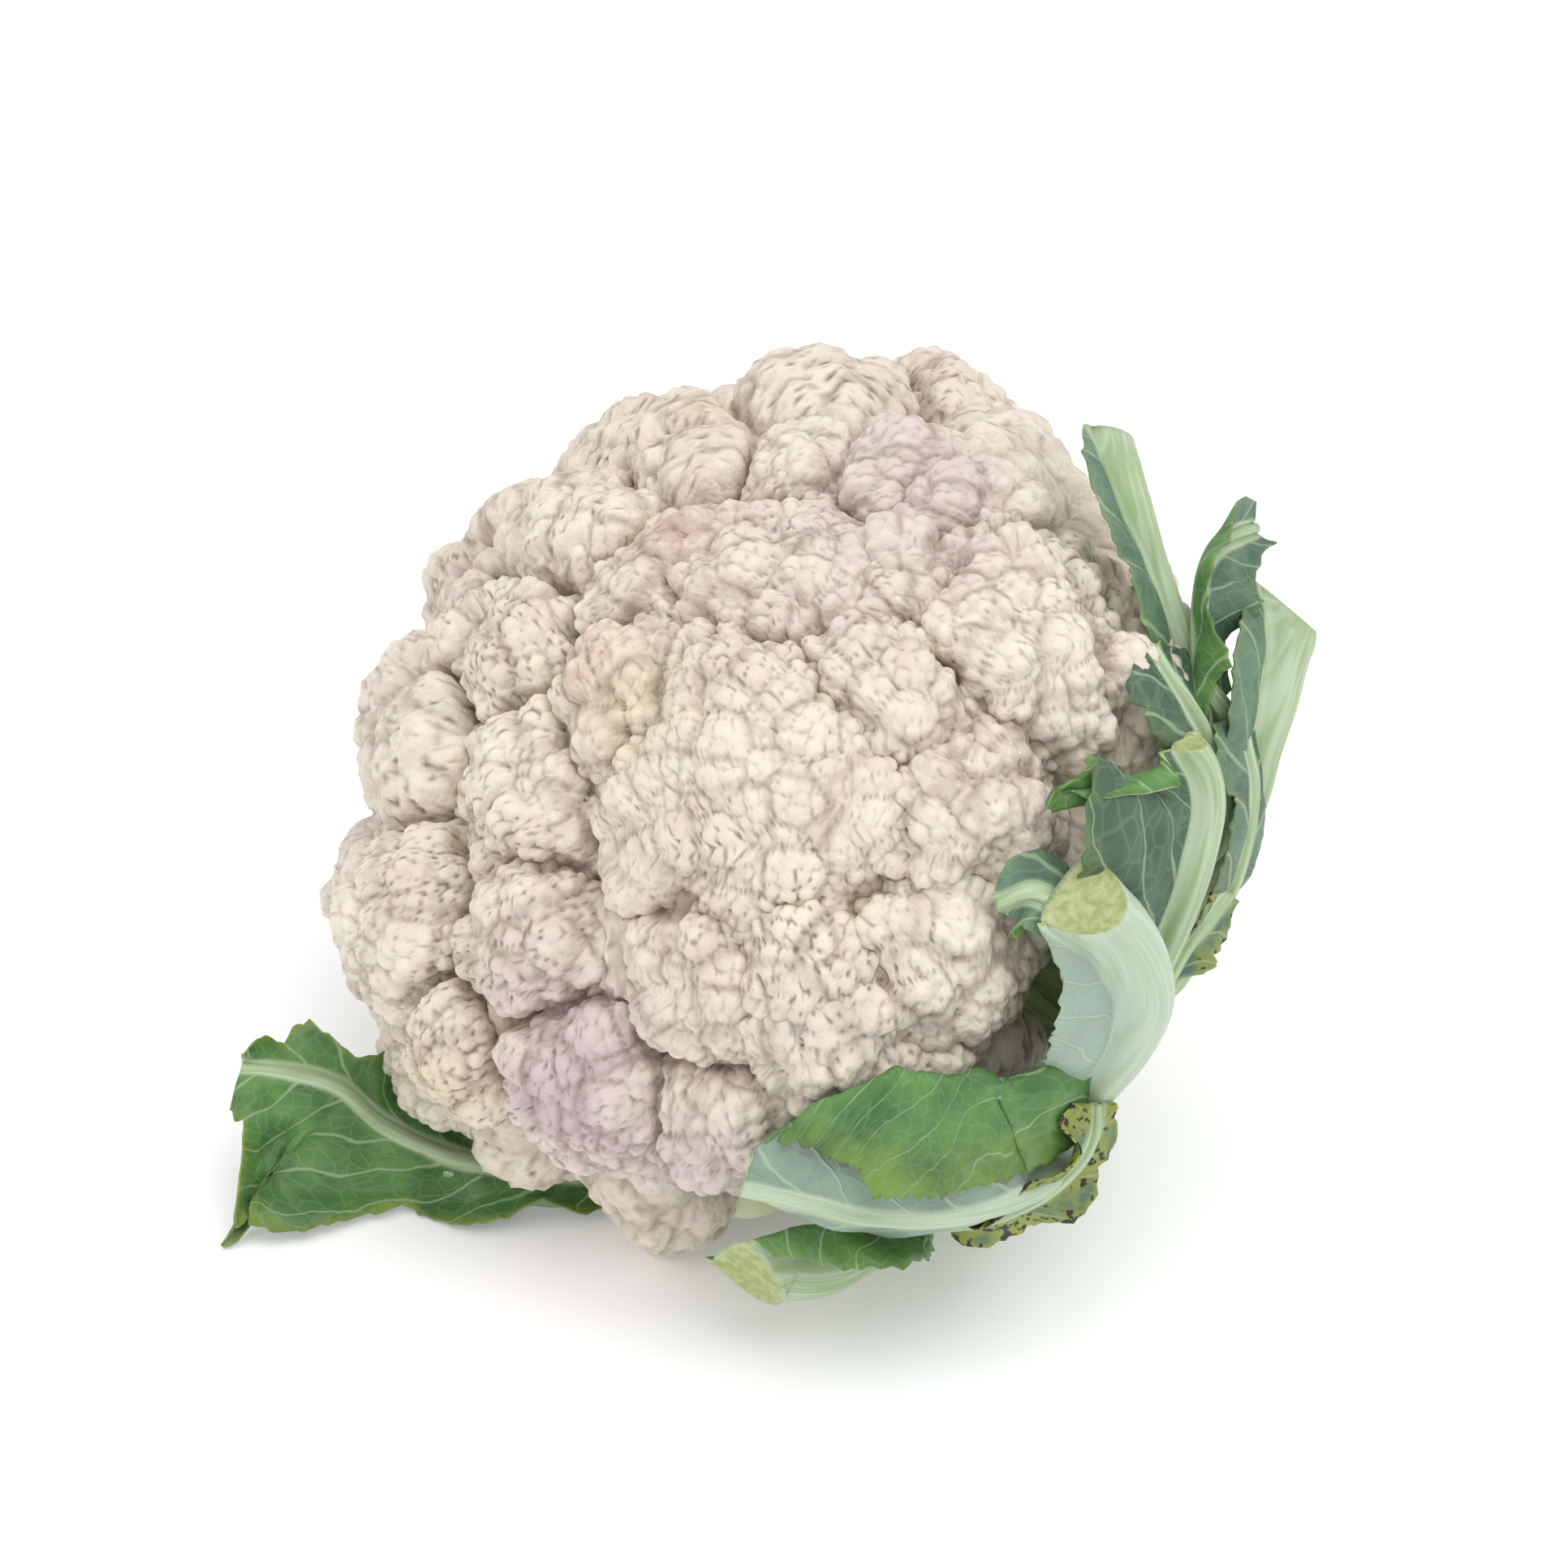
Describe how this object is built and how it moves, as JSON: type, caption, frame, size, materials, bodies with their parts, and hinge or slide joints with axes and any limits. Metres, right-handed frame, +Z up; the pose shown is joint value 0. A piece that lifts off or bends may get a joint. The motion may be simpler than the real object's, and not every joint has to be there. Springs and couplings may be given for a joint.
{
  "type": "cauliflower",
  "caption": "Fresh cauliflower head lying tilted: a domed cream curd of heaped florets with a short cut stalk and trimmed green leaves wrapped up one side.",
  "frame": {"origin": "on the surface it lies on, under the middle of the bounding box", "axes": "+Z up; -Y towards the side where the florets and the folded leaf show; +X towards the side that the leaves wrap; the head's own top points up, left and forwards"},
  "size_m": [0.2043, 0.2049, 0.1458],
  "materials": {
    "curd": "matte fresh curd, cream with faint violet and brown blushes",
    "leaf": "fresh leaf, waxy blue-green outside, brighter green inside, pale veins and rib",
    "stalk": "pale green fleshy stalk with a dry cut end"
  },
  "bodies": {
    "root": {"curd": "curd", "stalk": "stalk", "leaf_lower_left": "leaf", "leaf_lower_front": "leaf", "leaf_small_right": "leaf", "leaf_small_front": "leaf", "leaf_far_right": "leaf", "leaf_far_right_inner": "leaf", "leaf_right_thick": "leaf", "leaf_right_curled": "leaf", "leaf_right_broad": "leaf", "leaf_right_tall": "leaf", "leaf_right_yellowed": "leaf", "leaf_lower_folded": "leaf", "leaf_lower_yellowed": "leaf", "leaf_back_right": "leaf", "leaf_back_top": "leaf", "leaf_back_left": "leaf", "leaf_back_low": "leaf"}
  },
  "joints": []
}
